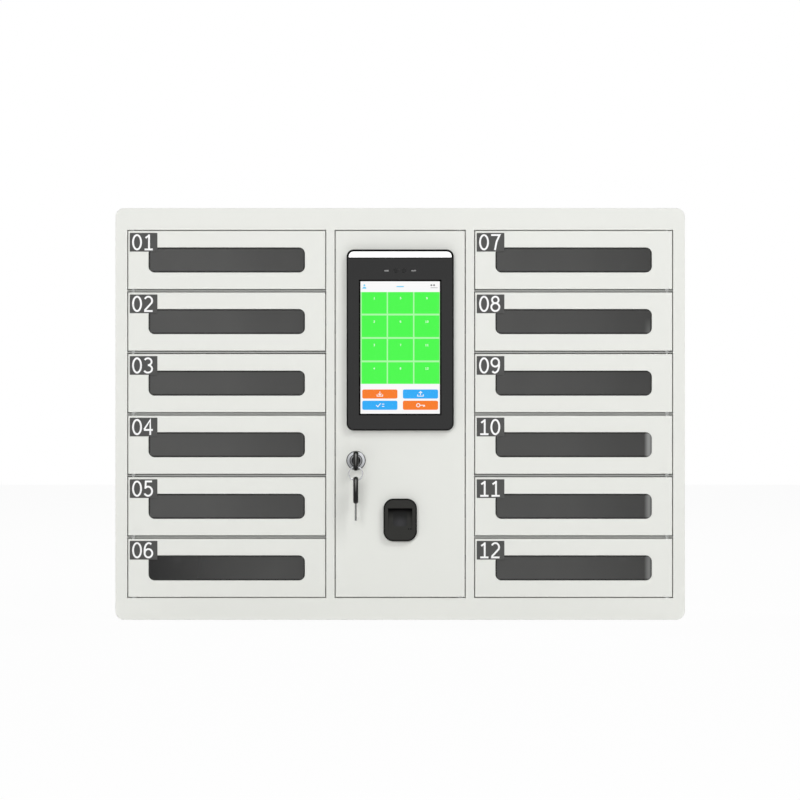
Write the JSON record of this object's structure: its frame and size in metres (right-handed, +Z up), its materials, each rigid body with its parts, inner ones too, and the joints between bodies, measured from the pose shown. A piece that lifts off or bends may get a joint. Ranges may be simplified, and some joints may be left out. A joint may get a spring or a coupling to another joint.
{
  "type": "phone locker",
  "caption": "Locker box for phones: two columns of small windowed doors with electric latches, and a keyed service door carrying a touch terminal and a fingerprint reader.",
  "frame": {"origin": "centre of the base, on the surface it stands on", "axes": "+Z up, -Y out of the front with the doors, +X to the right seen from the front"},
  "size_m": [0.65, 0.2393, 0.47],
  "materials": {
    "white_paint": "smooth satin powder coat",
    "plated_steel": "zinc plated",
    "key_steel": "nickel plated, fine brushed",
    "chrome": "polished",
    "smoked_acrylic": "smoked, gloss",
    "black_plastic": "fine grained moulding",
    "front_glass": "gloss, printed black on the back",
    "display": "lit picture",
    "light_bar": "lit diffuser",
    "camera": "lens black",
    "sensor_glass": "gloss",
    "green_board": "solder mask",
    "supply_case": "perforated sheet"
  },
  "bodies": {
    "cabinet": {"outer_shell": "white_paint", "front_frame": "white_paint", "back_panel": "white_paint", "bay_partitions": "white_paint", "cell_shelves": "white_paint", "hinge_pins": "plated_steel", "lock_bodies": "plated_steel", "control_board": "green_board", "power_supply": "supply_case", "power_inlet": "black_plastic"},
    "cell_door_01": {"door_01": "white_paint", "window_01": "smoked_acrylic"},
    "cell_door_02": {"door_02": "white_paint", "window_02": "smoked_acrylic"},
    "cell_door_03": {"door_03": "white_paint", "window_03": "smoked_acrylic"},
    "cell_door_04": {"door_04": "white_paint", "window_04": "smoked_acrylic"},
    "cell_door_05": {"door_05": "white_paint", "window_05": "smoked_acrylic"},
    "cell_door_06": {"door_06": "white_paint", "window_06": "smoked_acrylic"},
    "cell_door_07": {"door_07": "white_paint", "window_07": "smoked_acrylic"},
    "cell_door_08": {"door_08": "white_paint", "window_08": "smoked_acrylic"},
    "cell_door_09": {"door_09": "white_paint", "window_09": "smoked_acrylic"},
    "cell_door_10": {"door_10": "white_paint", "window_10": "smoked_acrylic"},
    "cell_door_11": {"door_11": "white_paint", "window_11": "smoked_acrylic"},
    "cell_door_12": {"door_12": "white_paint", "window_12": "smoked_acrylic"},
    "bolt_01": {"lock_bolt_01": "key_steel"},
    "bolt_02": {"lock_bolt_02": "key_steel"},
    "bolt_03": {"lock_bolt_03": "key_steel"},
    "bolt_04": {"lock_bolt_04": "key_steel"},
    "bolt_05": {"lock_bolt_05": "key_steel"},
    "bolt_06": {"lock_bolt_06": "key_steel"},
    "bolt_07": {"lock_bolt_07": "key_steel"},
    "bolt_08": {"lock_bolt_08": "key_steel"},
    "bolt_09": {"lock_bolt_09": "key_steel"},
    "bolt_10": {"lock_bolt_10": "key_steel"},
    "bolt_11": {"lock_bolt_11": "key_steel"},
    "bolt_12": {"lock_bolt_12": "key_steel"},
    "service_panel": {"service_door": "white_paint", "terminal_case": "black_plastic", "terminal_glass": "front_glass", "display_panel": "display", "light_bar": "light_bar", "camera_module": "camera", "fingerprint_reader": "black_plastic", "fingerprint_window": "sensor_glass", "lock_barrel": "chrome"},
    "lock_core": {"lock_plug": "chrome", "lock_tongue": "plated_steel", "key": "black_plastic"},
    "ring": {"key_ring": "key_steel"},
    "spare": {"spare_key": "black_plastic"}
  },
  "joints": [
    {"name": "door_01_hinge", "type": "hinge", "parent": "cabinet", "child": "cell_door_01", "pos_m": [-0.3046, -0.097, 0.41075], "axis": [0, 0, -1], "range_deg": [0, 100]},
    {"name": "door_02_hinge", "type": "hinge", "parent": "cabinet", "child": "cell_door_02", "pos_m": [-0.3046, -0.097, 0.34045], "axis": [0, 0, -1], "range_deg": [0, 100]},
    {"name": "door_03_hinge", "type": "hinge", "parent": "cabinet", "child": "cell_door_03", "pos_m": [-0.3046, -0.097, 0.27015], "axis": [0, 0, -1], "range_deg": [0, 100]},
    {"name": "door_04_hinge", "type": "hinge", "parent": "cabinet", "child": "cell_door_04", "pos_m": [-0.3046, -0.097, 0.19985], "axis": [0, 0, -1], "range_deg": [0, 100]},
    {"name": "door_05_hinge", "type": "hinge", "parent": "cabinet", "child": "cell_door_05", "pos_m": [-0.3046, -0.097, 0.12955], "axis": [0, 0, -1], "range_deg": [0, 100]},
    {"name": "door_06_hinge", "type": "hinge", "parent": "cabinet", "child": "cell_door_06", "pos_m": [-0.3046, -0.097, 0.05925], "axis": [0, 0, -1], "range_deg": [0, 100]},
    {"name": "door_07_hinge", "type": "hinge", "parent": "cabinet", "child": "cell_door_07", "pos_m": [0.3046, -0.097, 0.41075], "axis": [0, 0, 1], "range_deg": [0, 100]},
    {"name": "door_08_hinge", "type": "hinge", "parent": "cabinet", "child": "cell_door_08", "pos_m": [0.3046, -0.097, 0.34045], "axis": [0, 0, 1], "range_deg": [0, 100]},
    {"name": "door_09_hinge", "type": "hinge", "parent": "cabinet", "child": "cell_door_09", "pos_m": [0.3046, -0.097, 0.27015], "axis": [0, 0, 1], "range_deg": [0, 100]},
    {"name": "door_10_hinge", "type": "hinge", "parent": "cabinet", "child": "cell_door_10", "pos_m": [0.3046, -0.097, 0.19985], "axis": [0, 0, 1], "range_deg": [0, 100]},
    {"name": "door_11_hinge", "type": "hinge", "parent": "cabinet", "child": "cell_door_11", "pos_m": [0.3046, -0.097, 0.12955], "axis": [0, 0, 1], "range_deg": [0, 100]},
    {"name": "door_12_hinge", "type": "hinge", "parent": "cabinet", "child": "cell_door_12", "pos_m": [0.3046, -0.097, 0.05925], "axis": [0, 0, 1], "range_deg": [0, 100]},
    {"name": "bolt_01_slide", "type": "slide", "parent": "cabinet", "child": "bolt_01", "axis": [1, 0, 0], "range_m": [0, 0.008], "stiffness_N_per_m": 200, "springref_m": -0.01},
    {"name": "bolt_02_slide", "type": "slide", "parent": "cabinet", "child": "bolt_02", "axis": [1, 0, 0], "range_m": [0, 0.008], "stiffness_N_per_m": 200, "springref_m": -0.01},
    {"name": "bolt_03_slide", "type": "slide", "parent": "cabinet", "child": "bolt_03", "axis": [1, 0, 0], "range_m": [0, 0.008], "stiffness_N_per_m": 200, "springref_m": -0.01},
    {"name": "bolt_04_slide", "type": "slide", "parent": "cabinet", "child": "bolt_04", "axis": [1, 0, 0], "range_m": [0, 0.008], "stiffness_N_per_m": 200, "springref_m": -0.01},
    {"name": "bolt_05_slide", "type": "slide", "parent": "cabinet", "child": "bolt_05", "axis": [1, 0, 0], "range_m": [0, 0.008], "stiffness_N_per_m": 200, "springref_m": -0.01},
    {"name": "bolt_06_slide", "type": "slide", "parent": "cabinet", "child": "bolt_06", "axis": [1, 0, 0], "range_m": [0, 0.008], "stiffness_N_per_m": 200, "springref_m": -0.01},
    {"name": "bolt_07_slide", "type": "slide", "parent": "cabinet", "child": "bolt_07", "axis": [-1, 0, 0], "range_m": [0, 0.008], "stiffness_N_per_m": 200, "springref_m": -0.01},
    {"name": "bolt_08_slide", "type": "slide", "parent": "cabinet", "child": "bolt_08", "axis": [-1, 0, 0], "range_m": [0, 0.008], "stiffness_N_per_m": 200, "springref_m": -0.01},
    {"name": "bolt_09_slide", "type": "slide", "parent": "cabinet", "child": "bolt_09", "axis": [-1, 0, 0], "range_m": [0, 0.008], "stiffness_N_per_m": 200, "springref_m": -0.01},
    {"name": "bolt_10_slide", "type": "slide", "parent": "cabinet", "child": "bolt_10", "axis": [-1, 0, 0], "range_m": [0, 0.008], "stiffness_N_per_m": 200, "springref_m": -0.01},
    {"name": "bolt_11_slide", "type": "slide", "parent": "cabinet", "child": "bolt_11", "axis": [-1, 0, 0], "range_m": [0, 0.008], "stiffness_N_per_m": 200, "springref_m": -0.01},
    {"name": "bolt_12_slide", "type": "slide", "parent": "cabinet", "child": "bolt_12", "axis": [-1, 0, 0], "range_m": [0, 0.008], "stiffness_N_per_m": 200, "springref_m": -0.01},
    {"name": "service_door_hinge", "type": "hinge", "parent": "cabinet", "child": "service_panel", "pos_m": [0.06785, -0.097, 0.235], "axis": [0, 0, 1], "range_deg": [0, 95]},
    {"name": "lock_turn", "type": "hinge", "parent": "service_panel", "child": "lock_core", "pos_m": [-0.0504, -0.1, 0.1818], "axis": [0, 1, 0], "range_deg": [0, 90]},
    {"name": "ring_hang", "type": "hinge", "parent": "lock_core", "child": "ring", "pos_m": [-0.0504, -0.1281, 0.16722], "axis": [0, 1, 0], "range_deg": [-90, 0]},
    {"name": "spare_key_swing", "type": "hinge", "parent": "ring", "child": "spare", "pos_m": [-0.0504, -0.1281, 0.15937], "axis": [1, 0, 0], "range_deg": [-60, 25]}
  ],
  "couplings": [
    {"joint": "ring_hang", "follows": "lock_turn", "ratio": -1}
  ]
}
